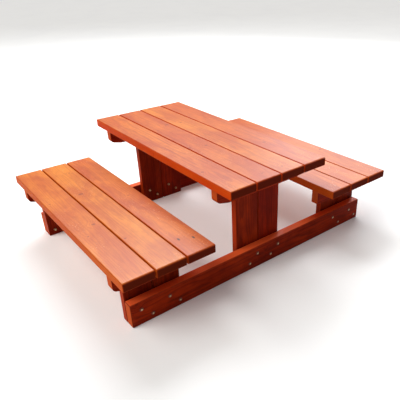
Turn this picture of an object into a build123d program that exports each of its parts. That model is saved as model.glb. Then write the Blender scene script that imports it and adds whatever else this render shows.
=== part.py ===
from build123d import *
import os

# Fixed picnic table with two benches, all sizes in mm.
# X runs across the table from the left bench to the right bench, Y along its
# length from the near end to the far end, Z up from the ground.

# ---- boards of the table top and of the benches ----
BOARD_WIDTH = 145.0
BOARD_THICK = 45.0
BOARD_GAP = 5.0
BOARD_EASING = 5.0          # rounding of a board's long and upright edges
BOARD_END_EASING = 9.0      # rounding of the upper and lower edges at its ends
TABLE_BOARDS = 4
BENCH_BOARDS = 3
TABLE_LENGTH = 1340.0
BENCH_LENGTH = 1334.0
TABLE_HEIGHT = 560.0        # ground to the table's upper face
BENCH_HEIGHT = 337.0        # ground to the seat's upper face
BENCH_CENTRE = 608.0        # table centre line to bench centre line

# ---- ground runners, one under each end ----
RUNNER_LENGTH = 1542.0
RUNNER_THICK = 50.0
RUNNER_HEIGHT = 125.0
RUNNER_FACE = 554.0         # table middle to the runner's outer face
RUNNER_EASING = 6.0

# ---- leg planks, in pairs, on the inner side of the runners ----
LEG_WIDTH = 140.0
LEG_THICK = 38.0
LEG_EASING = 4.0
TABLE_LEG_GAP = 4.0
BENCH_LEG_GAP = 5.0

# ---- bearers that carry the boards, on the outer side of the legs ----
BEARER_THICK = 45.0
BEARER_HEIGHT = 80.0
BEARER_EASING = 3.0
TABLE_BEARER_LEFT = 284.0   # centre line to the near table bearer's left end
TABLE_BEARER_RIGHT = 292.0  # and to its right end: it sits a little off centre
BENCH_BEARER_INNER = 400.0  # centre line to the square inner end
BENCH_BEARER_OUTER = 828.0  # centre line to the shaped outer end
SHAPED_RUN = 65.0           # sloping cut under a shaped end
SHAPED_RISE = 16.0
SHAPED_CORNER = 24.0        # rounding between the cut and the end face
SHAPED_BLEND = 100.0        # rounding between the cut and the underside

# ---- M8 carriage bolts, washers and nuts ----
SHANK = 8.0
BOLT_LENGTH = 100.0
HEAD_WIDTH = 20.0
HEAD_HEIGHT = 4.5
NECK_SIDE = 8.0
NECK_LENGTH = 4.2
BOLT_HOLE = 9.0
NECK_POCKET = 8.8
NECK_POCKET_DEPTH = 5.0
WASHER_WIDTH = 16.0
WASHER_THICK = 1.6
NUT_FLATS = 13.0
NUT_THICK = 6.5
NUT_BORE = 8.4

# ---- screws that hold the boards, driven up through the bearers ----
SCREW_SHANK = 5.0
SCREW_HEAD = 11.0
SCREW_HEAD_THICK = 3.0
SCREW_HOLE = 5.6
SCREW_IN_BEARER = 50.0
SCREW_IN_BOARD = 30.0
SCREW_TIP_ROOM = 2.0
POCKET_WIDTH = 14.0
SCREW_SPREAD = 42.0         # board centre line to each of its two screws

# ---- how shapes are cut ----
OVERRUN = 1.0               # how far a cutting shape passes a face
MATCH = 0.01                # how near two profile points count as one

# ---- bolt positions, as (sideways from the plank's middle, height) ----
TABLE_RUNNER_BOLTS = ((-26.0, 42.0), (26.0, 85.0))
BENCH_RUNNER_BOLTS = ((-18.0, 82.0), (34.0, 34.0))
TABLE_BEARER_BOLTS = ((-26.0, 24.0), (26.0, 56.0))
BENCH_BEARER_BOLTS = ((-32.0, 56.0), (32.0, 24.0))

# ---- values that follow from the ones above ----
BOARD_PITCH = BOARD_WIDTH + BOARD_GAP
LEG_FACE = RUNNER_FACE - RUNNER_THICK
LEG_BACK = LEG_FACE - LEG_THICK
BEARER_FACE = LEG_FACE + BEARER_THICK
BEARER_MIDDLE = LEG_FACE + BEARER_THICK / 2
TABLE_UNDERSIDE = TABLE_HEIGHT - BOARD_THICK
BENCH_UNDERSIDE = BENCH_HEIGHT - BOARD_THICK
TABLE_BEARER_FOOT = TABLE_UNDERSIDE - BEARER_HEIGHT
BENCH_BEARER_FOOT = BENCH_UNDERSIDE - BEARER_HEIGHT
TABLE_LEG_X = (LEG_WIDTH + TABLE_LEG_GAP) / 2
BENCH_LEG_OUTER = RUNNER_LENGTH / 2 - LEG_WIDTH / 2
BENCH_LEG_INNER = BENCH_LEG_OUTER - LEG_WIDTH - BENCH_LEG_GAP

os.makedirs("parts", exist_ok=True)


def eased_block(size_x, size_y, size_z, radius):
    """A planed timber with all its edges rounded, centred on the origin."""
    block = Box(size_x, size_y, size_z)
    return fillet(block.edges(), radius)


def rounded_board(length):
    """A board with softly rounded ends, centred on the origin."""
    block = Box(BOARD_WIDTH, length, BOARD_THICK)
    block = fillet(block.edges().filter_by(Axis.X), BOARD_END_EASING)
    sides = block.faces().sort_by(Axis.X)
    return fillet(sides[0].edges() + sides[-1].edges(), BOARD_EASING)


def board_centres(count):
    """Centre lines of boards laid side by side about x = 0."""
    return [(i - (count - 1) / 2) * BOARD_PITCH for i in range(count)]


def bearer(x_left, x_right, foot, shaped_left, shaped_right):
    """A bearer on edge; a shaped end has its lower corner cut and rounded."""
    top = foot + BEARER_HEIGHT
    shoulder = foot + SHAPED_RISE
    outline = [(x_left, top), (x_right, top)]
    corners = []
    blends = []
    if shaped_right:
        corners.append((x_right, shoulder))
        blends.append((x_right - SHAPED_RUN, foot))
        outline += [corners[-1], blends[-1]]
    else:
        outline.append((x_right, foot))
    if shaped_left:
        corners.append((x_left, shoulder))
        blends.append((x_left + SHAPED_RUN, foot))
        outline += [blends[-1], corners[-1]]
    else:
        outline.append((x_left, foot))
    with BuildPart() as timber:
        with BuildSketch(Plane.XZ) as profile:
            with BuildLine():
                Polyline(*outline, close=True)
            make_face()
            for points, radius in ((blends, SHAPED_BLEND), (corners, SHAPED_CORNER)):
                if points:
                    chosen = [v for v in profile.vertices() if near_any(v, points)]
                    fillet(chosen, radius)
        extrude(amount=BEARER_THICK / 2, both=True)
        fillet(timber.edges(), BEARER_EASING)
    return Pos(0, -BEARER_MIDDLE, 0) * timber.part


def near_any(vertex, points):
    """True when a profile vertex stands on one of the given (x, z) points."""
    return any(abs(vertex.X - x) < MATCH and abs(vertex.Z - z) < MATCH for x, z in points)


def bolt_head_plane(x, z, face):
    """Plane on an outer timber face; its normal points out of the table."""
    return Plane(origin=(x, -face, z), x_dir=(1, 0, 0), z_dir=(0, -1, 0))


def carriage_bolt(x, z, face):
    """Domed head, square neck and round shank; the head bears on y = -face."""
    radius = HEAD_WIDTH / 2
    ball = (radius**2 + HEAD_HEIGHT**2) / (2 * HEAD_HEIGHT)
    with BuildPart() as bolt:
        with BuildSketch(Plane.XZ):
            with BuildLine():
                rim = (radius, 0)
                crown = (0, HEAD_HEIGHT)
                RadiusArc(crown, rim, ball)
                Line(rim, (0, 0))
                Line((0, 0), crown)
            make_face()
        revolve(axis=Axis.Z)
        with Locations((0, 0, -NECK_LENGTH / 2)):
            Box(NECK_SIDE, NECK_SIDE, NECK_LENGTH)
        with Locations((0, 0, -BOLT_LENGTH / 2)):
            Cylinder(SHANK / 2, BOLT_LENGTH)
    return bolt_head_plane(x, z, face) * bolt.part


def bolt_passage(x, z, face):
    """Room for one bolt through the timbers, with a square seat for the neck."""
    through = Pos(0, 0, -BOLT_LENGTH / 2) * Cylinder(BOLT_HOLE / 2, BOLT_LENGTH + 2 * OVERRUN)
    seat = Pos(0, 0, -NECK_POCKET_DEPTH / 2) * Box(NECK_POCKET, NECK_POCKET, NECK_POCKET_DEPTH)
    return bolt_head_plane(x, z, face) * (through + seat)


def washer(x, z):
    """Round washer against the inner leg face."""
    ring = Cylinder(WASHER_WIDTH / 2, WASHER_THICK) - Cylinder(NUT_BORE / 2, WASHER_THICK)
    return bolt_head_plane(x, z, LEG_BACK - WASHER_THICK / 2) * ring


def nut(x, z):
    """Hexagon nut against its washer."""
    blank = extrude(RegularPolygon(NUT_FLATS / 2, 6, major_radius=False), NUT_THICK / 2, both=True)
    body = blank - Cylinder(NUT_BORE / 2, NUT_THICK)
    return bolt_head_plane(x, z, LEG_BACK - WASHER_THICK - NUT_THICK / 2) * body


def board_screw(x, underside):
    """Pan-head screw standing in the bearer, point up in the board."""
    seat = underside - SCREW_IN_BEARER
    length = SCREW_IN_BEARER + SCREW_IN_BOARD
    shank = Pos(0, 0, length / 2) * Cylinder(SCREW_SHANK / 2, length)
    head = Pos(0, 0, -SCREW_HEAD_THICK / 2) * Cylinder(SCREW_HEAD / 2, SCREW_HEAD_THICK)
    return Pos(x, -BEARER_MIDDLE, seat) * (shank + head)


def screw_passage(x, underside):
    """Room for one board screw, with the wide pocket below its head."""
    seat = underside - SCREW_IN_BEARER
    length = SCREW_IN_BEARER + SCREW_IN_BOARD + SCREW_TIP_ROOM
    depth = BEARER_HEIGHT - SCREW_IN_BEARER + OVERRUN
    pilot = Pos(0, 0, length / 2) * Cylinder(SCREW_HOLE / 2, length)
    pocket = Pos(0, 0, -depth / 2) * Cylinder(POCKET_WIDTH / 2, depth)
    return Pos(x, -BEARER_MIDDLE, seat) * (pilot + pocket)


def leg(x, underside):
    """One leg plank from the ground to the underside of the boards."""
    plank = eased_block(LEG_WIDTH, LEG_THICK, underside, LEG_EASING)
    return Pos(x, -(LEG_FACE + LEG_BACK) / 2, underside / 2) * plank


def shifted(points, x, z):
    """Bolt positions moved from a plank's own frame to the table's."""
    return [(x + dx, z + dz) for dx, dz in points]


# ---- the near end frame: where its bolts and screws go ----
table_legs_x = (-TABLE_LEG_X, TABLE_LEG_X)
bench_legs_x = (-BENCH_LEG_OUTER, -BENCH_LEG_INNER, BENCH_LEG_INNER, BENCH_LEG_OUTER)
runner_bolts = []
bearer_bolts = []
for leg_x in table_legs_x:
    runner_bolts += shifted(TABLE_RUNNER_BOLTS, leg_x, 0)
    bearer_bolts += shifted(TABLE_BEARER_BOLTS, leg_x, TABLE_BEARER_FOOT)
for leg_x in bench_legs_x:
    runner_bolts += shifted(BENCH_RUNNER_BOLTS, leg_x, 0)
    bearer_bolts += shifted(BENCH_BEARER_BOLTS, leg_x, BENCH_BEARER_FOOT)

table_screws_x = []
bench_screws_x = []
for board_x in board_centres(TABLE_BOARDS):
    table_screws_x += [board_x - SCREW_SPREAD, board_x + SCREW_SPREAD]
for bench_x in (-BENCH_CENTRE, BENCH_CENTRE):
    for board_x in board_centres(BENCH_BOARDS):
        middle = bench_x + board_x
        bench_screws_x += [middle - SCREW_SPREAD, middle + SCREW_SPREAD]
screws = [(x, TABLE_UNDERSIDE) for x in table_screws_x]
screws += [(x, BENCH_UNDERSIDE) for x in bench_screws_x]

bolt_room = [bolt_passage(x, z, RUNNER_FACE) for x, z in runner_bolts]
bolt_room += [bolt_passage(x, z, BEARER_FACE) for x, z in bearer_bolts]
screw_room = [screw_passage(x, underside) for x, underside in screws]


def drilled(timber, passages):
    """Cut out the passages that run through this timber."""
    box = timber.bounding_box()
    for passage in passages:
        centre = passage.bounding_box().center()
        if box.min.X < centre.X < box.max.X and meets(box, passage.bounding_box()):
            timber = timber - passage
    return timber


def meets(first, second):
    """True when two bounding boxes share some height and depth."""
    level = first.min.Z < second.max.Z and second.min.Z < first.max.Z
    deep = first.min.Y < second.max.Y and second.min.Y < first.max.Y
    return level and deep


# ---- timbers and fasteners of the near end frame ----
runner = eased_block(RUNNER_LENGTH, RUNNER_THICK, RUNNER_HEIGHT, RUNNER_EASING)
runner = Pos(0, -RUNNER_FACE + RUNNER_THICK / 2, RUNNER_HEIGHT / 2) * runner
frame = {
    "runner_near": drilled(runner, bolt_room),
    "table_bearer_near": drilled(
        bearer(-TABLE_BEARER_LEFT, TABLE_BEARER_RIGHT, TABLE_BEARER_FOOT, True, True),
        bolt_room + screw_room,
    ),
    "left_bench_bearer_near": drilled(
        bearer(-BENCH_BEARER_OUTER, -BENCH_BEARER_INNER, BENCH_BEARER_FOOT, True, False),
        bolt_room + screw_room,
    ),
    "right_bench_bearer_near": drilled(
        bearer(BENCH_BEARER_INNER, BENCH_BEARER_OUTER, BENCH_BEARER_FOOT, False, True),
        bolt_room + screw_room,
    ),
}
leg_names = ("left", "right")
for name, leg_x in zip(leg_names, table_legs_x):
    frame[f"table_leg_near_{name}"] = drilled(leg(leg_x, TABLE_UNDERSIDE), bolt_room)
leg_names = ("left_outer", "left_inner", "right_inner", "right_outer")
for name, leg_x in zip(leg_names, bench_legs_x):
    frame[f"bench_leg_near_{name}"] = drilled(leg(leg_x, BENCH_UNDERSIDE), bolt_room)

all_bolts = runner_bolts + bearer_bolts
bolts = [carriage_bolt(x, z, RUNNER_FACE) for x, z in runner_bolts]
bolts += [carriage_bolt(x, z, BEARER_FACE) for x, z in bearer_bolts]
frame["carriage_bolts_near"] = Compound(children=bolts)
frame["washers_near"] = Compound(children=[washer(x, z) for x, z in all_bolts])
frame["nuts_near"] = Compound(children=[nut(x, z) for x, z in all_bolts])
frame["board_screws_near"] = Compound(children=[board_screw(x, z) for x, z in screws])

# ---- the far end frame is the near one turned half a turn about Z ----
swap = {"near": "far", "left": "right", "right": "left"}
for name, shape in list(frame.items()):
    far_name = "_".join(swap.get(word, word) for word in name.split("_"))
    frame[far_name] = shape.rotate(Axis.Z, 180)

# ---- boards, with screw holes from both end frames ----
far_room = [passage.rotate(Axis.Z, 180) for passage in screw_room]


def place_boards(prefix, count, centre_x, length, upper_face):
    """Lay one row of boards and give each its own name, left to right."""
    for number, board_x in enumerate(board_centres(count), start=1):
        place = Pos(centre_x + board_x, 0, upper_face - BOARD_THICK / 2)
        board = place * rounded_board(length)
        frame[f"{prefix}_board_{number}"] = drilled(board, screw_room + far_room)


place_boards("table", TABLE_BOARDS, 0, TABLE_LENGTH, TABLE_HEIGHT)
place_boards("left_bench", BENCH_BOARDS, -BENCH_CENTRE, BENCH_LENGTH, BENCH_HEIGHT)
place_boards("right_bench", BENCH_BOARDS, BENCH_CENTRE, BENCH_LENGTH, BENCH_HEIGHT)

for name, shape in frame.items():
    export_step(shape, f"parts/{name}.step")
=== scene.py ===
import math
import random
from functools import partial

import bmesh
import bpy
from mathutils import Matrix, Vector, noise


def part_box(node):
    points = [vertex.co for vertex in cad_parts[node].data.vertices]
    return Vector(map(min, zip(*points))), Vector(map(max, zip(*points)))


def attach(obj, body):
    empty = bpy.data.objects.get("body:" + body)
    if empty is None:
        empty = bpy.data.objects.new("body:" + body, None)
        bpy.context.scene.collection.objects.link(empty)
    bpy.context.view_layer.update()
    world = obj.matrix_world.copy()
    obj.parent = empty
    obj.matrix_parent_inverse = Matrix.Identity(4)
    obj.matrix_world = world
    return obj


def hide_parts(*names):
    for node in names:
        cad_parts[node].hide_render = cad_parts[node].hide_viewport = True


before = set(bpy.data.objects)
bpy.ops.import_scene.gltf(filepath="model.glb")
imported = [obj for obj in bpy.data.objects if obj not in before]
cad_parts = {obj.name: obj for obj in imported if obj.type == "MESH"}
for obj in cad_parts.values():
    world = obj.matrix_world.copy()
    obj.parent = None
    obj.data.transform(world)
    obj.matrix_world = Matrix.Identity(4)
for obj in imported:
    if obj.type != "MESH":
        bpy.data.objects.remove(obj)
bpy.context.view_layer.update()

# Stained picnic table, in metres. X runs across the table, Y along it, Z up.
X, Y, Z = 0, 1, 2

# ---- how the timbers are finished ----
# Each easing is a pair: a timber's long edges, then the upper and lower edges of its ends.
BOARD_EASINGS = (0.005, 0.009)
RUNNER_EASINGS = (0.006, 0.006)
LEG_EASINGS = (0.004, 0.004)
BEARER_EASINGS = (0.003, 0.003)
CORNER_STEPS = 5            # facets round each eased corner
RIM_LIMIT = 0.94            # largest share of its easing that a rim is drawn in by
FLAT_STEPS = 3              # strips across each flat side
SPAN = 0.03                 # length of one strip along a timber
HOLLOW = 0.0005             # how deep planing and drying leave a face
HOLLOW_REACH = 6.0          # waves of that per metre
LONGEST_TRIM = 0.002        # unevenness of sawn ends
BENCH_TRIMS = {             # near ends of the left bench, which stand unevenly
    "left_bench_board_1": 0.003,
    "left_bench_board_2": 0.0,
    "left_bench_board_3": 0.0,
}
TIMBER_SHARP = 40           # degrees; sharper edges than this aren't smoothed
STEEL_SHARP = 35

# ---- the tree that each timber was cut from ----
PITH_ACROSS = 0.045         # how far to a side of the timber's middle its pith may lie
PITH_DEPTHS = (0.05, 0.11)  # how far below or above it
TRUNK = 50.0                # metres of trunk to cut from
HALF_ROUND = 0.29           # what a normal loses from its largest part halfway round an edge

# ---- shaped ends and screw pockets of the bearers ----
SHAPED_RUN = 0.065
SHAPED_RISE = 0.016
SHAPED_CORNER = 0.024
SHAPED_BLEND = 0.100
POCKET_RADIUS = 0.007
POCKET_DEPTH = 0.030
POCKET_FLARE = 0.0008

# ---- fasteners ----
HEAD_RADIUS = 0.010
HEAD_HEIGHT = 0.0045
HEAD_LIP = 0.0004           # height of the head's rim
HEAD_UNDERCUT = 0.0006
DOME_STEPS = 9
NECK_SIDE = 0.008
NECK_CORNER = 1.32          # reach of the neck's soft corners, as a share of half its side
NECK_LENGTH = 0.0042
SHANK_RADIUS = 0.004
THREAD_LENGTH = 0.022
THREAD_PITCH = 0.00125
THREAD_DEPTH = 0.0006
THREAD_ROWS = 4             # rows of points to each turn of the thread
TIP_LENGTH = 0.0012
TIP_TAPER = 0.0011
BOLT_LENGTH = 0.100
NUT_FLATS = 0.013
NUT_THICK = 0.0065
NUT_FACE_RADIUS = NUT_FLATS / 2 * 0.94
NUT_CHAMFER = math.radians(30)
NUT_BEVEL = 0.0007          # depth of the bevel round a nut's bore
WASHER_RADIUS = 0.008
WASHER_THICK = 0.0016
WASHER_EASING = 0.0003
BORE_RADIUS = 0.0042
NUT_BORE = BORE_RADIUS - 0.0003
NUT_MOUTH = BORE_RADIUS + 0.0004
SCREW_HEAD_RADIUS = 0.0055
SCREW_HEAD_THICK = 0.003
SCREW_SHANK_RADIUS = 0.0025
SCREW_LENGTH = 0.080
SCREW_POINT = 0.008         # length of its tapered point
SCREW_LOBES = 6             # of the recess that its driver fits
LOBE_DEPTH = 0.13
ROUND_STEPS = 36            # facets round a turned piece
BARE_STEEL = 0.55           # how bare of stain the nuts, washers and screws are

# ---- stain: how light and how yellow each board came out, -1 to 1 ----
BOARD_TONES = {
    "table_board_1": (0.08, 0.22),
    "table_board_2": (-0.10, 0.02),
    "table_board_3": (0.28, 0.60),
    "table_board_4": (-0.20, -0.02),
    "left_bench_board_1": (0.15, 0.30),
    "left_bench_board_2": (0.30, 0.55),
    "left_bench_board_3": (-0.10, -0.05),
    "right_bench_board_1": (-0.40, -0.40),
    "right_bench_board_2": (-0.10, -0.05),
    "right_bench_board_3": (-0.55, 0.0),
}
TABLE_LEG_TONE_AND_SHADE = {"near": -0.3, "far": -1.4}     # added to each leg's own random lightness; the far legs' larger share is painted shade under the table
# darkening of every bench leg: painted shade under the bench boards
BENCH_LEG_PAINTED_SHADE = -1.7
TONE_SPREAD = 0.4           # of the timbers that aren't listed
PIN_KNOTS = ((-0.4877, -0.5272, 0.337), (-0.4276, -0.5556, 0.337))

chance = random.Random(11)


# ======== shapes ========

def outline_of(corners, radii):
    """Points and outward normals round a convex outline, counter-clockwise."""
    samples = []
    for i, radius in enumerate(radii):
        corner = corners[i]
        before = (corner - corners[i - 1]).normalized()
        after = (corners[(i + 1) % len(corners)] - corner).normalized()
        start = math.atan2(-before.x, before.y)
        turn = before.angle(after)
        bisector = Vector((before.y + after.y, -before.x - after.x)).normalized()
        centre = corner - bisector * radius / math.cos(turn / 2)
        for step in range(CORNER_STEPS + 1):
            angle = start + turn * step / CORNER_STEPS
            normal = Vector((math.cos(angle), math.sin(angle)))
            samples.append((centre + normal * radius, normal))
    return divided(samples)


def divided(samples):
    """The same outline with extra points on its flat sides."""
    full = []
    for i, (point, normal) in enumerate(samples):
        full.append((point, normal))
        following = samples[(i + 1) % len(samples)][0]
        on_flat = (i + 1) % (CORNER_STEPS + 1) == 0
        if on_flat:
            for step in range(1, FLAT_STEPS):
                full.append((point.lerp(following, step / FLAT_STEPS), normal))
    return full


def levels_of(spans):
    """A swept timber's rings: how far along its straight part, and their lean."""
    rim = [math.cos(math.pi / 2 * step / CORNER_STEPS) for step in range(CORNER_STEPS)]
    levels = [(0.0, -lean) for lean in rim]
    levels += [(step / spans, 0.0) for step in range(spans + 1)]
    levels += [(1.0, lean) for lean in reversed(rim)]
    return levels


def swept(outline, axis, low, high, easings, spans):
    """Sweep an outline along an axis with rounded rims: vertices, normals, faces."""
    first, second = (axis + 1) % 3, (axis + 2) % 3
    easing, end_easing = easings
    extra = end_easing - easing
    lowest, highest = (pick(flat.x for flat, _ in outline) for pick in (min, max))
    middle, flat_half = (lowest + highest) / 2, (highest - lowest) / 2 - easing
    points, normals, faces = [], [], []
    levels = levels_of(spans)
    count = len(outline)
    for share, lean in levels:
        upright = math.sqrt(1 - lean * lean)
        drawn_in = min(1 - upright, RIM_LIMIT)
        for flat, out in outline:
            rim = easing + extra * out.x ** 2
            reach = max(-1.0, min(1.0, (flat.x - middle) / flat_half))
            point, normal = Vector(), Vector()
            point[axis] = low + rim * (1 + lean) + (high - low - 2 * rim) * share
            point[first] = flat.x - (out.x * easing + reach * extra) * drawn_in
            point[second] = flat.y - out.y * easing * drawn_in
            normal[axis] = lean
            normal[first] = out.x * upright
            normal[second] = out.y * upright
            points.append(point)
            normals.append(normal)
    for level in range(len(levels) - 1):
        here, there = level * count, (level + 1) * count
        for i in range(count):
            following = (i + 1) % count
            faces.append((here + i, here + following, there + following, there + i))
    last = (len(levels) - 1) * count
    faces.append(tuple(reversed(range(count))))
    faces.append(tuple(last + i for i in range(count)))
    return points, normals, faces


def hollowed(points, normals, seed):
    """Press the points in by a little, unevenly, as on real timber."""
    for point, normal in zip(points, normals):
        wave = noise.noise(point * HOLLOW_REACH + Vector((seed, 0, 0)))
        point -= normal * HOLLOW * (0.5 + 0.5 * wave)


def mesh_piece(name, points, faces, material):
    """A new object from points and faces."""
    mesh = bpy.data.meshes.new(name)
    mesh.from_pydata(points, [], faces)
    mesh.materials.append(material)
    piece = bpy.data.objects.new(name, mesh)
    bpy.context.scene.collection.objects.link(piece)
    return piece


def smoothed(piece, angle):
    """Shade smoothly, apart from edges sharper than the angle in degrees."""
    piece.data.polygons.foreach_set("use_smooth", [True] * len(piece.data.polygons))
    piece.data.set_sharp_from_angle(angle=math.radians(angle))
    weighted = piece.modifiers.new("even_normals", "WEIGHTED_NORMAL")
    weighted.keep_sharp = True


def finished(piece, node):
    """Put a piece in its CAD node's place."""
    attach(piece, "root")
    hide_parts(node)


# ======== timbers ========

WIDE_AND_THIN = {X: (Z, Y), Y: (X, Z), Z: (X, Y)}      # a timber's other axes, by its grain axis


def write_grain(piece, marks, grain_axis, middle, tone):
    """Store each vertex's place in the tree, its board's tone and its edge masks."""
    mesh = piece.data
    across, through = WIDE_AND_THIN[grain_axis]
    aside = chance.uniform(-PITH_ACROSS, PITH_ACROSS)
    pith = Vector((aside, chance.choice((-1, 1)) * chance.uniform(*PITH_DEPTHS)))
    along_offset = chance.uniform(0, TRUNK)
    grain = mesh.attributes.new("grain", "FLOAT_VECTOR", "POINT")
    plank = mesh.attributes.new("plank", "FLOAT_VECTOR", "POINT")
    edge = mesh.attributes.new("edge", "FLOAT_VECTOR", "POINT")
    for i, vertex in enumerate(mesh.vertices):
        place = vertex.co
        grain.data[i].vector = (
            place[grain_axis] + along_offset,
            place[across] - middle[across] + pith.x,
            place[through] - middle[through] + pith.y,
        )
        normal = marks.get(place_key(place))
        upward = 0.0 if normal is None else max(0.0, normal.z) ** 2
        plank.data[i].vector = (tone[0], tone[1], upward)
        if normal is None:
            edge.data[i].vector = (0, 0, 0)
        else:
            rounding = min(1.0, (1 - max(abs(n) for n in normal)) / HALF_ROUND)
            edge.data[i].vector = (rounding, normal[grain_axis] ** 2, normal[across] ** 2)


def place_key(place):
    """A point rounded to a hundredth of a millimetre, to look it up again."""
    return tuple(round(c * 1e5) for c in place)


def timber(node, outline, axis, low, high, easings, grain_axis, look, tone, pockets=()):
    """One piece of wood in the place of its CAD node; a look is a material and a slot name, and the slot name
    is not used.
    """
    material, slot = look
    lo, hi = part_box(node)
    spans = max(1, round((high - low) / SPAN)) if axis == grain_axis else 1
    points, normals, faces = swept(outline, axis, low, high, easings, spans)
    if axis == grain_axis:
        hollowed(points, normals, chance.uniform(0, 100))
    piece = mesh_piece("wood_" + node, points, faces, material)
    marks = {place_key(p): n for p, n in zip(points, normals)}
    if pockets:
        drill(piece, pockets, lo.z)
    write_grain(piece, marks, grain_axis, (lo + hi) / 2, tone)
    smoothed(piece, TIMBER_SHARP)
    finished(piece, node)


def box_outline(lo, hi, axis, easing):
    """Outline of a rectangular timber, seen along the axis."""
    first, second = (axis + 1) % 3, (axis + 2) % 3
    corners = [
        Vector((lo[first], lo[second])),
        Vector((hi[first], lo[second])),
        Vector((hi[first], hi[second])),
        Vector((lo[first], hi[second])),
    ]
    return outline_of(corners, [easing] * 4)


def plain_timber(node, axis, easings, look, tone, trims=(0.0, 0.0)):
    """A straight timber with its grain along the axis."""
    lo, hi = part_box(node)
    outline = box_outline(lo, hi, axis, easings[0])
    low, high = lo[axis] + trims[0], hi[axis] - trims[1]
    timber(node, outline, axis, low, high, easings, axis, look, tone)


def bearer(node, shaped_low, shaped_high, look, tone, pockets):
    """A bearer with one or both lower corners shaped, seen along Y as (z, x)."""
    lo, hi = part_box(node)
    shoulder = lo.z + SHAPED_RISE
    easing = BEARER_EASINGS[0]
    corners, radii = [Vector((hi.z, lo.x)), Vector((hi.z, hi.x))], [easing, easing]
    if shaped_high:
        corners += [Vector((shoulder, hi.x)), Vector((lo.z, hi.x - SHAPED_RUN))]
        radii += [SHAPED_CORNER, SHAPED_BLEND]
    else:
        corners.append(Vector((lo.z, hi.x)))
        radii.append(easing)
    if shaped_low:
        corners += [Vector((lo.z, lo.x + SHAPED_RUN)), Vector((shoulder, lo.x))]
        radii += [SHAPED_BLEND, SHAPED_CORNER]
    else:
        corners.append(Vector((lo.z, lo.x)))
        radii.append(easing)
    timber(node, outline_of(corners, radii), Y, lo.y, hi.y, BEARER_EASINGS, X, look, tone, pockets)


def drill(piece, places, underside):
    """Bore flared screw pockets up into the underside of a bearer."""
    rings = (
        (underside - POCKET_FLARE, POCKET_RADIUS + 2 * POCKET_FLARE),
        (underside + POCKET_FLARE, POCKET_RADIUS),
        (underside + POCKET_DEPTH, POCKET_RADIUS),
    )
    points, faces = [], []
    for x, y in places:
        base = len(points)
        for height, radius in rings:
            for step in range(ROUND_STEPS):
                angle = 2 * math.pi * step / ROUND_STEPS
                points.append((x + radius * math.cos(angle), y + radius * math.sin(angle), height))
        faces += ring_faces(len(rings), base) + cap_faces(len(rings), base)
    cutter = mesh_piece("cutter", points, faces, piece.data.materials[0])
    cut = piece.modifiers.new("pockets", "BOOLEAN")
    cut.operation = "DIFFERENCE"
    cut.object = cutter
    cut.solver = "EXACT"
    whole = piece.evaluated_get(bpy.context.evaluated_depsgraph_get())
    drilled = bpy.data.meshes.new_from_object(whole)
    piece.modifiers.clear()
    piece.data = drilled
    bpy.data.objects.remove(cutter)


def ring_faces(rings, base=0):
    """Faces between stacked rings of points, open at both ends."""
    faces = []
    for ring in range(rings - 1):
        here = base + ring * ROUND_STEPS
        there = here + ROUND_STEPS
        for step in range(ROUND_STEPS):
            following = (step + 1) % ROUND_STEPS
            faces.append((here + step, here + following, there + following, there + step))
    return faces


def cap_faces(rings, base=0):
    """The first and last face of stacked rings of points."""
    last = base + (rings - 1) * ROUND_STEPS
    first_cap = tuple(base + step for step in reversed(range(ROUND_STEPS)))
    return [first_cap, tuple(last + step for step in range(ROUND_STEPS))]


def loop_faces(rings):
    """Faces that join the last ring of points to the first, round a bore."""
    last = (rings - 1) * ROUND_STEPS
    faces = []
    for step in range(ROUND_STEPS):
        following = (step + 1) % ROUND_STEPS
        faces.append((last + step, last + following, following, step))
    return faces


# ======== fasteners ========

def solids_of(node):
    """Lowest and highest corner of every separate solid in a CAD node."""
    work = bmesh.new()
    work.from_mesh(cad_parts[node].data)
    bmesh.ops.remove_doubles(work, verts=work.verts, dist=1e-5)
    seen, boxes = set(), []
    for start in work.verts:
        if start in seen:
            continue
        seen.add(start)
        reached, waiting = [], [start]
        while waiting:
            vertex = waiting.pop()
            reached.append(vertex.co.copy())
            for edge in vertex.link_edges:
                other = edge.other_vert(vertex)
                if other not in seen:
                    seen.add(other)
                    waiting.append(other)
        low = Vector([min(p[i] for p in reached) for i in range(3)])
        high = Vector([max(p[i] for p in reached) for i in range(3)])
        boxes.append((low, high))
    work.free()
    return boxes


def at(value, angle):
    """A plain number, or what a function gives at an angle."""
    return value(angle) if callable(value) else value


def turned(profile):
    """Rings of points about Z; a profile's radii and heights may change with the angle."""
    points = []
    for radius, height in profile:
        for step in range(ROUND_STEPS):
            angle = 2 * math.pi * step / ROUND_STEPS
            reach = at(radius, angle)
            points.append(Vector((reach * math.cos(angle), reach * math.sin(angle), at(height, angle))))
    return points


def solid_of(profile):
    """Points and faces of a turned shape closed at both ends."""
    rings = len(profile)
    return turned(profile), ring_faces(rings) + cap_faces(rings)


def ring_of(profile):
    """Points and faces of a turned shape with a bore through it."""
    rings = len(profile)
    return turned(profile), ring_faces(rings) + loop_faces(rings)


def thread_radius(height, angle):
    """Radius of a helical V thread, tapering at the bolt's tip."""
    turns = height / THREAD_PITCH + angle / (2 * math.pi)
    ridge = abs((turns % 1) - 0.5) * 2
    taper = max(0.0, 1 - (height + BOLT_LENGTH) / TIP_LENGTH) * TIP_TAPER
    return SHANK_RADIUS - THREAD_DEPTH * ridge - taper


def neck_radius(angle):
    """Distance from the middle to the rim of the square neck, with soft corners."""
    reach = NECK_SIDE / 2 / max(abs(math.cos(angle)), abs(math.sin(angle)))
    return min(reach, NECK_SIDE / 2 * NECK_CORNER)


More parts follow.
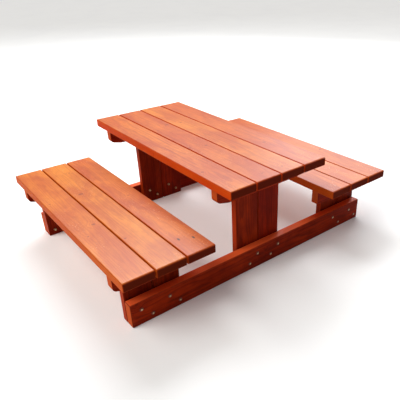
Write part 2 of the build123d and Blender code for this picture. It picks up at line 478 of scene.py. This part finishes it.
def bolt_shape():
    """Carriage bolt: domed head above z = 0, square neck, shank and thread below."""
    ball = (HEAD_RADIUS**2 + HEAD_HEIGHT**2) / (2 * HEAD_HEIGHT)
    rows = round(THREAD_LENGTH / THREAD_PITCH * THREAD_ROWS)
    profile = []
    for row in range(rows + 1):
        height = -BOLT_LENGTH + THREAD_LENGTH * row / rows
        profile.append((partial(thread_radius, height), height))
    profile += [
        (SHANK_RADIUS, -BOLT_LENGTH + THREAD_LENGTH + THREAD_PITCH), (SHANK_RADIUS, -NECK_LENGTH),
        (neck_radius, -NECK_LENGTH), (neck_radius, 0.0),
        (HEAD_RADIUS - HEAD_UNDERCUT, 0.0), (HEAD_RADIUS, HEAD_LIP),
    ]
    rim_angle = math.asin(HEAD_RADIUS / ball)
    for step in range(1, DOME_STEPS + 1):
        angle = rim_angle * (1 - step / (DOME_STEPS + 1))
        profile.append((ball * math.sin(angle), HEAD_HEIGHT - ball * (1 - math.cos(angle))))
    return solid_of(profile)


def hex_radius(angle):
    """Distance from the middle to the rim of a nut."""
    sixth = math.pi / 3
    return NUT_FLATS / 2 / math.cos((angle + sixth / 2) % sixth - sixth / 2)


def lower_rim(angle):
    """Height at which a nut's lower chamfer meets its rim."""
    return (hex_radius(angle) - NUT_FACE_RADIUS) * math.tan(NUT_CHAMFER)


def upper_rim(angle):
    """Height at which its upper chamfer meets its rim."""
    return NUT_THICK - lower_rim(angle)


def nut_shape():
    """Hexagon nut from z = 0 to NUT_THICK, with chamfered corners and bore."""
    return ring_of((
        (NUT_BORE, NUT_BEVEL), (NUT_MOUTH, 0.0), (NUT_FACE_RADIUS, 0.0), (hex_radius, lower_rim),
        (hex_radius, upper_rim), (NUT_FACE_RADIUS, NUT_THICK), (NUT_MOUTH, NUT_THICK),
        (NUT_BORE, NUT_THICK - NUT_BEVEL),
    ))


def washer_shape():
    """Flat washer from z = 0 to WASHER_THICK with softened edges."""
    soft = WASHER_EASING
    return ring_of((
        (BORE_RADIUS, soft), (BORE_RADIUS + soft, 0.0),
        (WASHER_RADIUS - soft, 0.0), (WASHER_RADIUS, soft),
        (WASHER_RADIUS, WASHER_THICK - soft), (WASHER_RADIUS - soft, WASHER_THICK),
        (BORE_RADIUS + soft, WASHER_THICK), (BORE_RADIUS, WASHER_THICK - soft),
    ))


def lobed(radius, angle):
    """Rim of a screw's recess, which has six lobes."""
    return radius * (1 + LOBE_DEPTH * math.cos(SCREW_LOBES * angle))


def screw_shape():
    """Pan-head screw: head below z = 0 with a six-lobed recess, shank above."""
    crown, radius = -SCREW_HEAD_THICK, SCREW_HEAD_RADIUS
    return solid_of((
        (partial(lobed, 0.0015), crown + 0.0016), (partial(lobed, 0.0021), crown + 0.00015),
        (0.0034, crown), (0.0046, crown + 0.0006), (0.0053, crown + 0.0015),
        (radius, -0.0005), (radius - 0.0004, 0.0),
        (SCREW_SHANK_RADIUS, 0.0), (SCREW_SHANK_RADIUS, SCREW_LENGTH - SCREW_POINT),
        (0.0003, SCREW_LENGTH),
    ))


def fastener_group(node, shape, placing, material, stained=False):
    """One piece of many equal fasteners, each placed from its CAD solid."""
    template, template_faces = shape
    points, faces, bare = [], [], []
    for low, high in solids_of(node):
        matrix = placing(low, high) @ Matrix.Rotation(chance.uniform(0, math.pi), 4, "Z")
        base = len(points)
        points += [matrix @ p for p in template]
        if stained:
            bare += [1 - math.hypot(p.x, p.y) / HEAD_RADIUS for p in template]
        else:
            bare += [BARE_STEEL] * len(template)
        faces += [tuple(base + i for i in face) for face in template_faces]
    piece = mesh_piece("steel_" + node, points, faces, material)
    piece.data.attributes.new("bare", "FLOAT", "POINT").data.foreach_set("value", bare)
    smoothed(piece, STEEL_SHARP)
    finished(piece, node)


def outward(x, y, z, side):
    """Matrix at (x, y, z) whose Z axis points out of the table's near or far end."""
    columns = Matrix(((-side, 0, 0), (0, 0, side), (0, 1, 0)))
    return Matrix.Translation((x, y, z)) @ columns.to_4x4()


def end_of(middle):
    """1 for a fastener at the table's far end, -1 at its near end."""
    return 1 if middle.y > 0 else -1


def place_bolt(low, high):
    """The head's bearing face, one head height in from the outermost point."""
    middle = (low + high) / 2
    side = end_of(middle)
    outermost = high.y if side > 0 else low.y
    return outward(middle.x, outermost - side * HEAD_HEIGHT, middle.z, side)


def place_flat(low, high):
    """The inner face of a nut or washer, which points at the table's middle."""
    middle = (low + high) / 2
    side = end_of(middle)
    innermost = low.y if side > 0 else high.y
    return outward(middle.x, innermost, middle.z, side)


def place_screw(low, high):
    """The screw's seat, one head's thickness above its lowest point."""
    middle = (low + high) / 2
    return Matrix.Translation((middle.x, middle.y, low.z + SCREW_HEAD_THICK))


# ======== materials ========

def linear(red, green, blue):
    """A screen colour, 0 to 255, as the linear colour that a shader takes."""
    parts = []
    for value in (red, green, blue):
        share = value / 255
        parts.append(share / 12.92 if share <= 0.04045 else ((share + 0.055) / 1.055) ** 2.4)
    return (*parts, 1.0)


class Graph:
    """A material and the nodes that make it."""

    def __init__(self, name):
        self.material = bpy.data.materials.new(name)
        self.material.use_nodes = True
        self.tree = self.material.node_tree
        self.shader = self.tree.nodes["Principled BSDF"]

    def feed(self, socket, value):
        """Give a socket a number, a colour or another node's output."""
        if isinstance(value, bpy.types.NodeSocket):
            self.tree.links.new(value, socket)
        else:
            socket.default_value = value

    def add(self, kind, inputs, output=0, **settings):
        """Add a node and return one of its outputs."""
        node = self.tree.nodes.new("ShaderNode" + kind)
        for key, value in settings.items():
            setattr(node, key, value)
        for key, value in inputs.items():
            self.feed(node.inputs[key], value)
        return node.outputs[output]

    def math(self, operation, first, second=0.0):
        return self.add("Math", {0: first, 1: second}, operation=operation)

    def length(self, first, second):
        """Length of a line from its two parts at right angles."""
        squares = self.math("MULTIPLY", first, first), self.math("MULTIPLY", second, second)
        return self.math("SQRT", self.math("ADD", *squares))

    def grey(self, level):
        """A colour with equal red, green and blue."""
        return self.add("CombineColor", {0: level, 1: level, 2: level})

    def scaled(self, vector, factors):
        return self.add("VectorMath", {0: vector, 1: factors}, operation="MULTIPLY")

    def noise(self, vector, scale, detail=2.0, rough=0.5, distortion=0.0):
        inputs = {"Vector": vector, "Scale": scale, "Detail": detail}
        inputs.update({"Roughness": rough, "Distortion": distortion})
        return self.add("TexNoise", inputs)

    def mix(self, share, first, second, blend="MIX"):
        inputs = {0: share, 6: first, 7: second}
        return self.add("Mix", inputs, output=2, data_type="RGBA", blend_type=blend)

    def span(self, value, low, high, out_low=0.0, out_high=1.0, smooth=True):
        """Map a value from low..high to out_low..out_high, clamped."""
        inputs = {0: value, 1: low, 2: high, 3: out_low, 4: out_high}
        kind = "SMOOTHSTEP" if smooth else "LINEAR"
        return self.add("MapRange", inputs, interpolation_type=kind)

    def attribute(self, name, output=1):
        return self.add("Attribute", {}, output=output, attribute_name=name)

    def object_place(self):
        return self.add("TexCoord", {}, output=3)

    def bump(self, height, strength, distance):
        inputs = {"Height": height, "Strength": strength, "Distance": distance}
        self.feed(self.shader.inputs["Normal"], self.add("Bump", inputs))

    def split(self, vector):
        node = self.tree.nodes.new("ShaderNodeSeparateXYZ")
        self.tree.links.new(vector, node.inputs[0])
        return node.outputs[0], node.outputs[1], node.outputs[2]


# How fine each pattern is, in waves per metre along, across and through the timber.
SWAY_SCALE = (1.4, 10.0, 10.0)
BAND_SCALE = (0.6, 1.0, 1.0)
STREAK_SCALE = (1.2, 60.0, 60.0)
FIBRE_SCALE = (28.0, 900.0, 900.0)
BLOTCH_SCALE = (3.2, 9.0, 9.0)
PATCH_SCALE = (14.0, 40.0, 40.0)
SCUFFED_SCALE = (4.0, 7.0, 7.0)
CRUMB_SCALE = (90.0, 190.0, 190.0)
BAND_FINENESS = 38.0

# ---- growth rings and knots ----
RING_WIDTH = 0.0062         # spacing of the growth rings
SWAY_REACH = 0.034          # how far the rings wander along the trunk
LATEWOOD_RISE = (0.35, 0.88)        # slow darkening across a ring, then a quick end
LATEWOOD_FALL = (0.90, 1.0)
KNOT_SPACING = 0.42         # along the board, between branches
KNOT_TURN = 1.3             # round the tree, between branches
KNOT_PICK = (0.45, 1.0)     # a cell's random value, from no branch to the thickest
KNOT_RADII = (0.0001, 0.011)
KNOT_EDGE = (0.8, 1.15)     # of a knot's radius
KNOT_INFLUENCE = 2.6        # how far the rings flow round a knot, in radii
KNOT_PUSH = 1.6             # how far aside they are pushed, in radii
KNOT_RINGS = 2.6            # rings inside each knot
KNOT_LINE_SPAN = (0.5, 0.9)

# ---- where each pattern starts and ends, as low and high values of its noise ----
BLOTCH_SPAN = (0.32, 0.68)
STREAK_SPAN = (0.5, 0.78)
BAND_SPAN = (0.35, 0.7)
FIBRE_SPAN = (0.25, 0.75)
FIBRE_TONES = (0.86, 1.10)
PATCH_SPAN = (0.54, 0.74)
SCUFFED_SPAN = (0.48, 0.64)
CRUMB_SPAN = (0.6, 0.72)
NARROW_SPAN = (0.1, 0.9)
SAWN_DARK_SPAN = (0.02, 0.3)
SAWN_SPAN = (0.15, 0.7)
PIN_KNOT_RADII = (0.003, 0.0065)    # its dark heart, and where it ends
PIN_KNOT_SHAPE = (1.0, 0.45, 1.0)   # longer along the board

# ---- strengths ----
STREAK_SHARE = 1.3          # of a wood's figure
BAND_SHARE = 0.55
KNOT_STRENGTH = 0.55
KNOT_LINE_STRENGTH = 0.35
RED_GAIN = 0.16             # what a board's tone does to each colour
YELLOW_GAIN = 0.34
BLUE_LOSS = -0.10
# a narrow side's share of its own colour: a redder stain on the boards, painted light on the frame
SIDE_STRENGTH = 0.7
SAWN_DARK_STRENGTH = 0.85
SAWN_STRENGTH = 0.92
UPWARD_SHELTER = 0.7        # how much less an upper face counts as sawn
WEAR = 0.25
# darkening along rounded edges: partly stain pooled there, partly painted shade of the gaps between boards
EDGE_STAIN_AND_SHADE = 0.8
GLOSS_BLOTCH = 0.16
GLOSS_LATEWOOD = -0.05
GLOSS_SAWN = 0.18
COAT_ROUGHNESS = 0.36
PIN_KNOT_STRENGTH = 0.95
RAISED_LATEWOOD = 0.5       # shares of the bump's depth
RAISED_FIBRE = 0.8
SUNKEN_KNOT = -0.5
WOOD_BUMP = (0.35, 0.0004)  # strength, and depth in metres
BLACK = (0.0, 0.0, 0.0, 1.0)
RESIN = linear(244, 200, 160)
PIN_KNOT = linear(38, 22, 12)


def growth(g, grain):
    """Latewood of the growth rings, how near a knot is in its radii, and its mask."""
    along, across, through = g.split(grain)
    sway = g.noise(g.scaled(grain, SWAY_SCALE), 1.0, 3.0, 0.55)
    swayed = g.math("MULTIPLY", g.math("SUBTRACT", sway, 0.5), SWAY_REACH)
    from_pith = g.math("ADD", g.length(across, through), swayed)

    # branches grow outwards from the pith, so a knot shows on every face it meets
    turn = g.math("ARCTAN2", through, across)
    cell_along = g.math("DIVIDE", along, KNOT_SPACING)
    cell_turn = g.math("DIVIDE", turn, KNOT_TURN)
    cells = g.tree.nodes.new("ShaderNodeTexVoronoi")
    cells.voronoi_dimensions = "2D"
    g.feed(cells.inputs["Vector"], g.add("CombineXYZ", {0: cell_along, 1: cell_turn, 2: 0.0}))
    g.feed(cells.inputs["Scale"], 1.0)
    pick = g.split(cells.outputs["Color"])[0]
    spot_along, spot_turn, _ = g.split(cells.outputs["Position"])
    miss_along = g.math("SUBTRACT", along, g.math("MULTIPLY", spot_along, KNOT_SPACING))
    miss_turn = g.math("SUBTRACT", turn, g.math("MULTIPLY", spot_turn, KNOT_TURN))
    away = g.length(miss_along, g.math("MULTIPLY", miss_turn, from_pith))
    knot_size = g.span(pick, *KNOT_PICK, *KNOT_RADII, smooth=False)
    nearness = g.math("DIVIDE", away, knot_size)
    knot_mask = g.span(nearness, *KNOT_EDGE, 1.0, 0.0)

    # rings flow round a knot, and each ends in slow dark latewood
    reach = g.math("DIVIDE", away, g.math("MULTIPLY", knot_size, KNOT_INFLUENCE))
    flow = g.math("EXPONENT", g.math("MULTIPLY", g.math("MULTIPLY", reach, reach), -1.0))
    push = g.math("MULTIPLY", g.math("MULTIPLY", flow, knot_size), KNOT_PUSH)
    ring = g.math("FRACT", g.math("DIVIDE", g.math("ADD", from_pith, push), RING_WIDTH))
    late = g.math("MULTIPLY", g.span(ring, *LATEWOOD_RISE), g.span(ring, *LATEWOOD_FALL, 1.0, 0.0))
    return late, nearness, knot_mask


def stain(g, look, grain, blotch, fibre, growth_parts):
    """Stain over blotches, rings, streaks, bands, fibres and knots."""
    late, nearness, knot_mask = growth_parts
    deep, figure = look["deep"], look["figure"]
    streak = g.noise(g.scaled(grain, STREAK_SCALE), 1.0, 3.0, 0.6)
    band = g.noise(g.scaled(grain, BAND_SCALE), BAND_FINENESS, 2.0, 0.5)
    base = g.mix(g.span(blotch, *BLOTCH_SPAN), look["dark"], look["light"])
    base = g.mix(g.math("MULTIPLY", late, figure), base, deep)
    base = g.mix(g.math("MULTIPLY", g.span(streak, *STREAK_SPAN), figure * STREAK_SHARE), base, deep)
    base = g.mix(g.math("MULTIPLY", g.span(band, *BAND_SPAN), figure * BAND_SHARE), base, deep)
    fibre_tone = g.span(fibre, *FIBRE_SPAN, *FIBRE_TONES, smooth=False)
    base = g.mix(1.0, base, g.grey(fibre_tone), "MULTIPLY")
    base = g.mix(g.math("MULTIPLY", knot_mask, KNOT_STRENGTH), base, look["knot"])
    ring_in_knot = g.math("FRACT", g.math("MULTIPLY", nearness, KNOT_RINGS))
    line = g.span(ring_in_knot, *KNOT_LINE_SPAN, 0.0, KNOT_LINE_STRENGTH)
    return g.mix(g.math("MULTIPLY", knot_mask, line), base, deep)


def toned(g, base, lightness, yellowness):
    """Each board took the stain differently."""
    red_gain = g.math("ADD", g.math("MULTIPLY", lightness, RED_GAIN), 1.0)
    green_gain = g.math("ADD", g.math("MULTIPLY", yellowness, YELLOW_GAIN), red_gain)
    blue_gain = g.math("ADD", g.math("MULTIPLY", yellowness, BLUE_LOSS), red_gain)
    gain = g.add("CombineColor", {0: red_gain, 1: green_gain, 2: blue_gain})
    return g.mix(1.0, base, gain, "MULTIPLY")


def sides_and_ends(g, look, base, upward, edge_parts):
    """Narrow sides and end grain take colours of their own: on the boards a deeper red stain and dark end
    grain, on the frame lighter colours that are painted light; upper faces take a painted light colour, which
    only the frame uses.
    """
    _, cut_end, narrow_side = edge_parts
    # narrow sides take the look's side colour: on the boards a deeper red stain, on the frame a lighter
    # colour that is painted light on the legs' sides and the runners' and bearers' upper and lower faces
    base = g.mix(g.span(narrow_side, *NARROW_SPAN, 0.0, SIDE_STRENGTH), base, look["side"])
    # upper faces are lightened by the look's share of painted light; only the frame's share is above zero
    base = g.mix(g.math("MULTIPLY", upward, look["painted_top_light"]), base, look["painted_top_light_colour"])
    sawn = g.math("SUBTRACT", cut_end, g.math("MULTIPLY", upward, UPWARD_SHELTER))
    base = g.mix(g.span(sawn, *SAWN_DARK_SPAN, 0.0, SAWN_DARK_STRENGTH), base, look["deep"])
    # end grain takes the look's grain_end colour: a dark stain on the boards, on the frame a lighter colour
    # that is painted light on the sawn ends
    return g.mix(g.span(sawn, *SAWN_SPAN, 0.0, SAWN_STRENGTH), base, look["grain_end"])


def wear(g, look, base, grain, rounding, upward):
    """Deeper stain and painted shade along the rounded edges, stain rubbed off them in patches, and pale
    crumbs where people sit.
    """
    patch = g.noise(g.scaled(grain, PATCH_SCALE), 1.0, 3.0, 0.6)
    worn = g.math("MULTIPLY", g.span(patch, *PATCH_SPAN), g.math("MULTIPLY", rounding, WEAR))
    # the rounded edges are darkened: partly stain pooled there, partly painted shade of the gaps between
    # boards
    edge_stain_and_shade = g.math("MULTIPLY", g.math("SUBTRACT", rounding, worn), EDGE_STAIN_AND_SHADE)
    base = g.mix(edge_stain_and_shade, base, look["deep"])
    base = g.mix(worn, base, look["light"])
    area = g.span(g.noise(g.scaled(grain, SCUFFED_SCALE), 1.0, 2.0, 0.5), *SCUFFED_SPAN)
    crumbs = g.span(g.noise(g.scaled(grain, CRUMB_SCALE), 1.0, 3.0, 0.7), *CRUMB_SPAN)
    scuffs = g.math("MULTIPLY", g.math("MULTIPLY", area, crumbs), g.math("MULTIPLY", upward, look["scuff"]))
    return g.mix(scuffs, base, RESIN)


def pin_knots(g, base, marks):
    """Small dark knots at given places, in metres."""
    place = g.object_place()
    for mark in marks:
        to_mark = g.add("VectorMath", {0: place, 1: mark}, operation="SUBTRACT")
        slim = g.scaled(to_mark, PIN_KNOT_SHAPE)
        gap = g.add("VectorMath", {0: slim}, output=1, operation="LENGTH")
        base = g.mix(g.span(gap, *PIN_KNOT_RADII, PIN_KNOT_STRENGTH, 0.0), base, PIN_KNOT)
    return base


def wood(name, look, marks=()):
    """Stained softwood cut from one tree: rings, knots, fibres, worn edges with painted shade along them, and
    on the frame painted light on some faces.
    """
    g = Graph(name)
    grain = g.attribute("grain")
    lightness, yellowness, upward = g.split(g.attribute("plank"))
    edge_parts = g.split(g.attribute("edge"))
    rounding, cut_end, _ = edge_parts
    late, nearness, knot_mask = growth(g, grain)
    fibre = g.noise(g.scaled(grain, FIBRE_SCALE), 1.0, 3.0, 0.65)
    blotch = g.noise(g.scaled(grain, BLOTCH_SCALE), 1.0, 3.0, 0.55, 0.6)

    base = stain(g, look, grain, blotch, fibre, (late, nearness, knot_mask))
    base = toned(g, base, lightness, yellowness)
    base = sides_and_ends(g, look, base, upward, edge_parts)
    base = wear(g, look, base, grain, rounding, upward)
    g.feed(g.shader.inputs["Base Color"], pin_knots(g, base, marks))

    gloss = g.math("MULTIPLY", g.math("SUBTRACT", blotch, 0.5), GLOSS_BLOTCH)
    gloss = g.math("ADD", gloss, look["rough"])
    gloss = g.math("ADD", gloss, g.math("MULTIPLY", late, GLOSS_LATEWOOD))
    gloss = g.math("ADD", gloss, g.math("MULTIPLY", cut_end, GLOSS_SAWN))
    g.feed(g.shader.inputs["Roughness"], gloss)
    g.shader.inputs["Specular IOR Level"].default_value = look["shine"]
    g.feed(g.shader.inputs["Coat Weight"], g.math("MULTIPLY", upward, look["coat"]))
    g.shader.inputs["Coat Roughness"].default_value = COAT_ROUGHNESS

    height = g.math("MULTIPLY", late, RAISED_LATEWOOD)
    height = g.math("ADD", height, g.math("MULTIPLY", fibre, RAISED_FIBRE))
    height = g.math("ADD", height, g.math("MULTIPLY", knot_mask, SUNKEN_KNOT))
    g.bump(height, *WOOD_BUMP)
    return g.material


SPANGLE_SCALE, CLOUD_SCALE, SPECKLE_SCALE = 420.0, 90.0, 240.0      # waves per metre
CLOUD_SPAN = (0.3, 0.7)
SPANGLE_STRENGTH = 0.35
STAIN_SPAN = (0.66, 0.86)   # how bare the steel is where stain ends
STAIN_RAGGEDNESS = 0.4
SPECKLE_SPAN = (0.56, 0.75)
SPECKLE_STRENGTH = 0.5
DULLING = 0.8               # how much less metallic stained steel is
ZINC_ROUGHNESS = (0.34, 0.52)
ZINC_BUMP = (0.25, 0.0002)
DARK_ZINC, PALE_ZINC = linear(196, 164, 122), linear(222, 198, 158)
SPANGLE = linear(150, 132, 104)
STAIN_ON_STEEL = linear(112, 36, 14)


def zinc():
    """Zinc-plated steel with a faint yellow passivation, touched by stain."""
    g = Graph("zinc_steel")
    place = g.object_place()
    spangle = g.add("TexVoronoi", {"Vector": place, "Scale": SPANGLE_SCALE}, output=0)
    cloud = g.noise(place, CLOUD_SCALE, 3.0, 0.6)
    speckle = g.noise(place, SPECKLE_SCALE, 4.0, 0.65)
    base = g.mix(g.span(cloud, *CLOUD_SPAN), DARK_ZINC, PALE_ZINC)
    base = g.mix(g.math("MULTIPLY", spangle, SPANGLE_STRENGTH), base, SPANGLE)
    bareness = g.math("ADD", g.attribute("bare", output=2), g.math("MULTIPLY", speckle, STAIN_RAGGEDNESS))
    stained = g.span(bareness, *STAIN_SPAN, 1.0, 0.0)
    dirt = g.math("MAXIMUM", g.span(speckle, *SPECKLE_SPAN, 0.0, SPECKLE_STRENGTH), stained)
    g.feed(g.shader.inputs["Base Color"], g.mix(dirt, base, STAIN_ON_STEEL))
    g.feed(g.shader.inputs["Metallic"], g.math("SUBTRACT", 1.0, g.math("MULTIPLY", dirt, DULLING)))
    g.feed(g.shader.inputs["Roughness"], g.span(cloud, 0.25, 0.75, *ZINC_ROUGHNESS, smooth=False))
    g.bump(cloud, *ZINC_BUMP)
    return g.material


BOARD_LOOK = {
    "grain_end": linear(76, 17, 5), "knot": linear(120, 38, 14),
    "rough": 0.5, "shine": 0.02, "coat": 0.8, "painted_top_light": 0.0, "painted_top_light_colour": BLACK,
}
BENCH_LOOK = {
    **BOARD_LOOK,
    "light": linear(222, 120, 34), "dark": linear(196, 88, 24), "deep": linear(160, 52, 14),
    "side": linear(182, 68, 16), "figure": 0.24, "scuff": 0.75,
}
TABLE_LOOK = {
    **BOARD_LOOK,
    "light": linear(218, 114, 34), "dark": linear(194, 84, 26), "deep": linear(152, 42, 12),
    "side": linear(194, 54, 9), "figure": 0.32, "scuff": 0.5,
}
# the frame's side, grain_end and upper-face colours are lighter than its own: painted light on the legs'
# sides, the runners' and bearers' upper and lower faces, the sawn ends and every upper face
FRAME_LOOK = {
    "light": linear(160, 42, 7), "dark": linear(126, 26, 4), "deep": linear(84, 12, 2),
    "grain_end": linear(190, 80, 34), "knot": linear(64, 12, 3), "side": linear(178, 58, 18),
    "rough": 0.5, "shine": 0.03, "coat": 0.3, "figure": 0.5, "scuff": 0.0,
    "painted_top_light": 0.85, "painted_top_light_colour": linear(245, 104, 52),
}

# each timber's material, and a slot name that nothing reads
TABLE_WOOD = (wood("table_wood", TABLE_LOOK), "table_wood")
BENCH_WOOD = (wood("bench_wood", BENCH_LOOK), "bench_wood")
MARKED_WOOD = (wood("bench_wood_with_pin_knots", BENCH_LOOK, PIN_KNOTS), "bench_wood")
FRAME_WOOD = (wood("frame_wood", FRAME_LOOK), "frame_wood")
zinc_steel = zinc()


# ======== the table ========

def random_trims():
    return chance.uniform(0.0, LONGEST_TRIM), chance.uniform(0.0, LONGEST_TRIM)


def random_tone(shift=0.0):
    """How light and how yellow a timber came out, with its lightness shifted; for the legs the shift holds
    painted shade.
    """
    lightness = chance.uniform(-TONE_SPREAD, TONE_SPREAD)
    return lightness + shift, chance.uniform(-TONE_SPREAD, TONE_SPREAD)


for number in range(1, 5):
    board = f"table_board_{number}"
    trims = random_trims() if number in (2, 4) else (0.0, 0.0)
    plain_timber(board, Y, BOARD_EASINGS, TABLE_WOOD, BOARD_TONES[board], trims)

for bench in ("left_bench", "right_bench"):
    for number in range(1, 4):
        board = f"{bench}_board_{number}"
        near, far = random_trims()
        near = BENCH_TRIMS.get(board, near)
        far = 0.0 if number == 2 else far
        look = MARKED_WOOD if board == "left_bench_board_3" else BENCH_WOOD
        plain_timber(board, Y, BOARD_EASINGS, look, BOARD_TONES[board], (near, far))

for end in ("near", "far"):
    plain_timber(f"runner_{end}", X, RUNNER_EASINGS, FRAME_WOOD, random_tone())
    for side in ("left", "right"):
        # the far table legs are darkened further: painted shade under the table
        tone = random_tone(TABLE_LEG_TONE_AND_SHADE[end])
        plain_timber(f"table_leg_{end}_{side}", Z, LEG_EASINGS, FRAME_WOOD, tone)
        for row in ("outer", "inner"):
            # bench legs darkened: painted shade
            tone = random_tone(BENCH_LEG_PAINTED_SHADE)
            plain_timber(f"bench_leg_{end}_{side}_{row}", Z, LEG_EASINGS, FRAME_WOOD, tone)

for end in ("near", "far"):
    pockets = [((low.x + high.x) / 2, (low.y + high.y) / 2) for low, high in solids_of(f"board_screws_{end}")]
    for node, shaped_low, shaped_high in (
        (f"table_bearer_{end}", True, True),
        (f"left_bench_bearer_{end}", True, False),
        (f"right_bench_bearer_{end}", False, True),
    ):
        lo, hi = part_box(node)
        own = [p for p in pockets if lo.x < p[0] < hi.x]
        bearer(node, shaped_low, shaped_high, FRAME_WOOD, random_tone(), own)

bolt, nut, washer, screw = bolt_shape(), nut_shape(), washer_shape(), screw_shape()
for end in ("near", "far"):
    fastener_group(f"carriage_bolts_{end}", bolt, place_bolt, zinc_steel, stained=True)
    fastener_group(f"nuts_{end}", nut, place_flat, zinc_steel)
    fastener_group(f"washers_{end}", washer, place_flat, zinc_steel)
    fastener_group(f"board_screws_{end}", screw, place_screw, zinc_steel)


# ======== floor, light and camera ========

MIDDLE = (0.0, 0.0, 0.35)   # where the lights point
FLOOR_REACH = 30.0
FLOOR_GLOW = 0.09
WARM = (1.0, 0.97, 0.93)
COOL = (0.95, 0.97, 1.0)
PALE = (0.96, 0.98, 1.0)
CAMERA_PLACE = (-1.3735, -2.0672, 1.4360)
CAMERA_YAW, CAMERA_PITCH, CAMERA_ROLL = (math.radians(angle) for angle in (-39.41, -29.04, -0.63))


def floor():
    """A plain pale floor."""
    g = Graph("pale_floor")
    shade = g.span(g.noise(g.object_place(), 1.5, 2.0), 0.3, 0.7)
    g.feed(g.shader.inputs["Base Color"], g.mix(shade, linear(243, 243, 243), linear(246, 246, 245)))
    g.shader.inputs["Roughness"].default_value = 0.9
    g.shader.inputs["Emission Color"].default_value = (1.0, 1.0, 1.0, 1.0)
    g.shader.inputs["Emission Strength"].default_value = FLOOR_GLOW
    g.shader.inputs["Specular IOR Level"].default_value = 0.1
    corners = ((-1, -1), (1, -1), (1, 1), (-1, 1))
    points = [(x * FLOOR_REACH, y * FLOOR_REACH, 0) for x, y in corners]
    mesh_piece("floor", points, [(0, 1, 2, 3)], g.material)


def aimed(name, lamp, place, tint):
    """Stand a lamp at a place, pointed at the middle of the table."""
    lamp.color = tint
    holder = bpy.data.objects.new(name, lamp)
    holder.location = place
    holder.rotation_mode = "QUATERNION"
    holder.rotation_quaternion = (Vector(MIDDLE) - Vector(place)).to_track_quat("-Z", "Y")
    bpy.context.scene.collection.objects.link(holder)
    return holder


def soft_sun(name, place, spread, strength, tint):
    """Even light from one side, as soft as a bright hazy sky."""
    lamp = bpy.data.lights.new(name, "SUN")
    lamp.energy = strength
    lamp.angle = math.radians(spread)
    aimed(name, lamp, place, tint)


def soft_light(name, place, width, height, power, tint):
    """A soft rectangular light that the camera doesn't see."""
    lamp = bpy.data.lights.new(name, "AREA")
    lamp.shape = "RECTANGLE"
    lamp.size = width
    lamp.size_y = height
    lamp.energy = power
    aimed(name, lamp, place, tint).visible_camera = False


def sky(brightness, shown):
    """Faint even light from all round, behind a pale backdrop."""
    world = bpy.data.worlds.new("pale_sky")
    world.use_nodes = True
    tree = world.node_tree
    light = tree.nodes["Background"]
    light.inputs["Color"].default_value = (0.94, 0.97, 1.0, 1.0)
    light.inputs["Strength"].default_value = brightness
    backdrop = tree.nodes.new("ShaderNodeBackground")
    backdrop.inputs["Color"].default_value = (0.97, 0.97, 0.97, 1.0)
    backdrop.inputs["Strength"].default_value = shown
    path = tree.nodes.new("ShaderNodeLightPath")
    either = tree.nodes.new("ShaderNodeMixShader")
    tree.links.new(path.outputs["Is Camera Ray"], either.inputs[0])
    tree.links.new(light.outputs[0], either.inputs[1])
    tree.links.new(backdrop.outputs[0], either.inputs[2])
    tree.links.new(either.outputs[0], tree.nodes["World Output"].inputs["Surface"])
    bpy.context.scene.world = world


def camera():
    """The camera stands at the near left corner and looks down at the table."""
    lens = bpy.data.cameras.new("camera")
    lens.lens = 42.0
    lens.sensor_width = 36.0
    lens.shift_x = -0.1112
    lens.shift_y = 0.0341
    lens.clip_end = 200.0
    holder = bpy.data.objects.new("camera", lens)
    turn = Matrix.Rotation(CAMERA_YAW, 4, "Z") @ Matrix.Rotation(math.pi / 2 + CAMERA_PITCH, 4, "X")
    turn = turn @ Matrix.Rotation(CAMERA_ROLL, 4, "Z")
    holder.matrix_world = Matrix.Translation(CAMERA_PLACE) @ turn
    bpy.context.scene.collection.objects.link(holder)
    bpy.context.scene.camera = holder


floor()
sky(brightness=0.2, shown=0.9)
soft_sun("key", (-3.6, 1.0, 4.6), spread=50, strength=2.35, tint=WARM)
soft_light("right_panel", (5.0, 2.6, 3.4), 3.5, 2.6, power=118.0, tint=COOL)
soft_light("high_panel", (3.5, 3.2, 4.0), 5.0, 2.2, power=55.0, tint=COOL)
soft_light("back_panel", (1.4, 3.9, 5.4), 4.0, 2.6, power=325.0, tint=PALE)
camera()
bpy.context.scene.view_settings.view_transform = "Standard"
